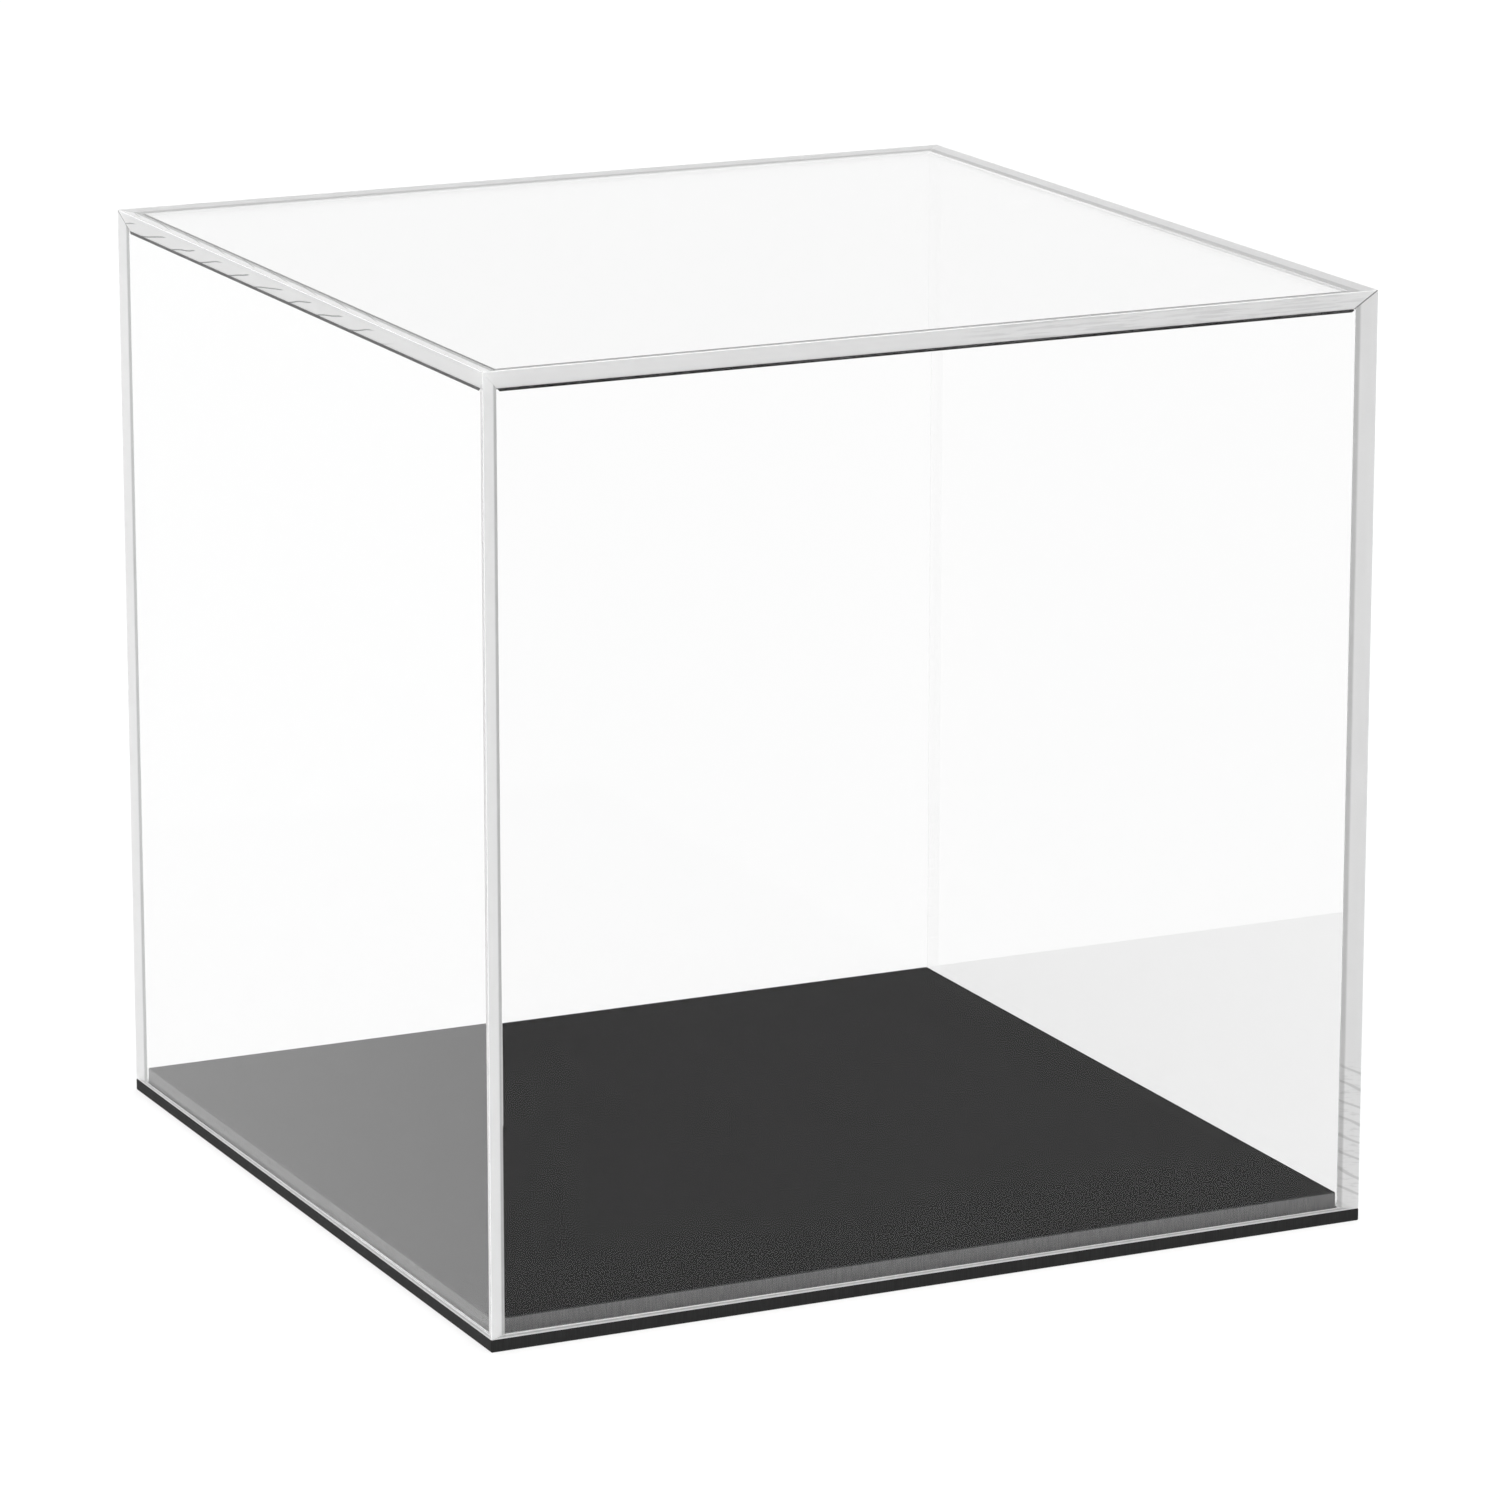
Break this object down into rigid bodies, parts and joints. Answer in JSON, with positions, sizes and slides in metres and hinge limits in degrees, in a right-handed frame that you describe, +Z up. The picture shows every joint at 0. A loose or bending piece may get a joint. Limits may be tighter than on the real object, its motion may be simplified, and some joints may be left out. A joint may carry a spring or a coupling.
{
  "type": "acrylic display cube",
  "caption": "Cube-shaped display case: a clear mitred acrylic cover that lifts off a flush black base plate with a raised locating plinth.",
  "frame": {"origin": "centre of the base plate's underside, on the surface that the case stands on", "axes": "+Z is up and is the way the cover lifts; the front is towards -Y and the left side towards -X; the case is the same from its four sides"},
  "size_m": [0.3, 0.3, 0.3],
  "materials": {
    "clear_acrylic": "polished",
    "clear_adhesive": "gloss",
    "black_acrylic": "gloss",
    "cement": "matte"
  },
  "bodies": {
    "base": {"base_plate": "black_acrylic", "plinth_cement": "cement", "base_plinth": "black_acrylic"},
    "cover": {"cover_left_panel": "clear_acrylic", "cover_right_panel": "clear_acrylic", "cover_front_panel": "clear_acrylic", "cover_back_panel": "clear_acrylic", "cover_top_panel": "clear_acrylic", "bond_front_left": "clear_adhesive", "bond_front_right": "clear_adhesive", "bond_back_right": "clear_adhesive", "bond_back_left": "clear_adhesive", "bond_top_front": "clear_adhesive", "bond_top_right": "clear_adhesive", "bond_top_back": "clear_adhesive", "bond_top_left": "clear_adhesive"}
  },
  "joints": [
    {"name": "cover_lift", "type": "slide", "parent": "base", "child": "cover", "axis": [0, 0, 1], "range_m": [0, 0.32]}
  ]
}
